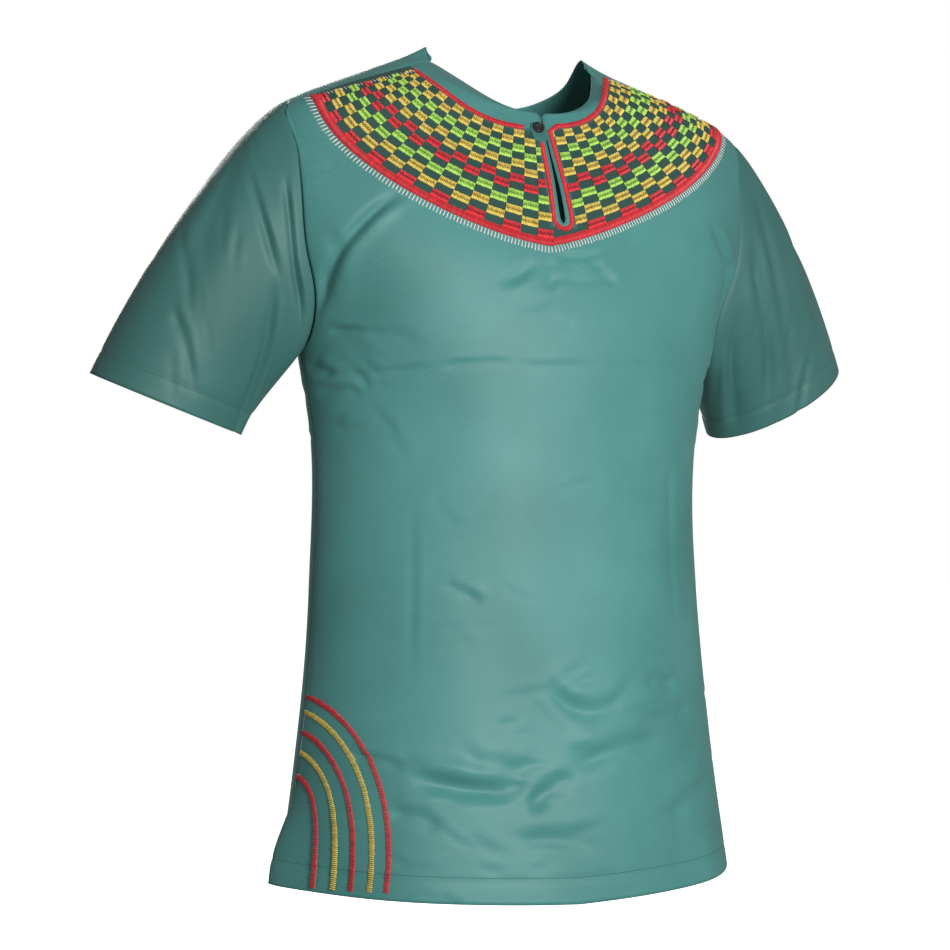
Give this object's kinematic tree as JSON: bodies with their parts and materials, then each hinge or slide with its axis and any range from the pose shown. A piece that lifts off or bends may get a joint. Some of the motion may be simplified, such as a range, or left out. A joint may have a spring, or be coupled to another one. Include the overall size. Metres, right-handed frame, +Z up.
{
  "type": "dashiki shirt",
  "caption": "Short-sleeved pull-on dashiki shirt in dark green satin with an embroidered checked bib, a keyhole slit with one button and side vents",
  "frame": {"origin": "Midway between the two points where neck and shoulder meet, where the wearer's shoulders hold the shirt.", "axes": "+X is the wearer's left, -Y is the front of the shirt, +Z is up."},
  "size_m": [0.7676, 0.2955, 0.7682],
  "materials": {
    "green_cloth": "satin",
    "thread_red": "satin",
    "thread_gold": "satin",
    "thread_lime": "satin",
    "thread_white": "satin",
    "thread_green": "satin",
    "button_black": "gloss"
  },
  "bodies": {
    "root": {"front": "green_cloth", "back": "green_cloth", "sleeve_right": "green_cloth", "sleeve_left": "green_cloth", "button_tab": "green_cloth", "button": "button_black"}
  },
  "joints": []
}
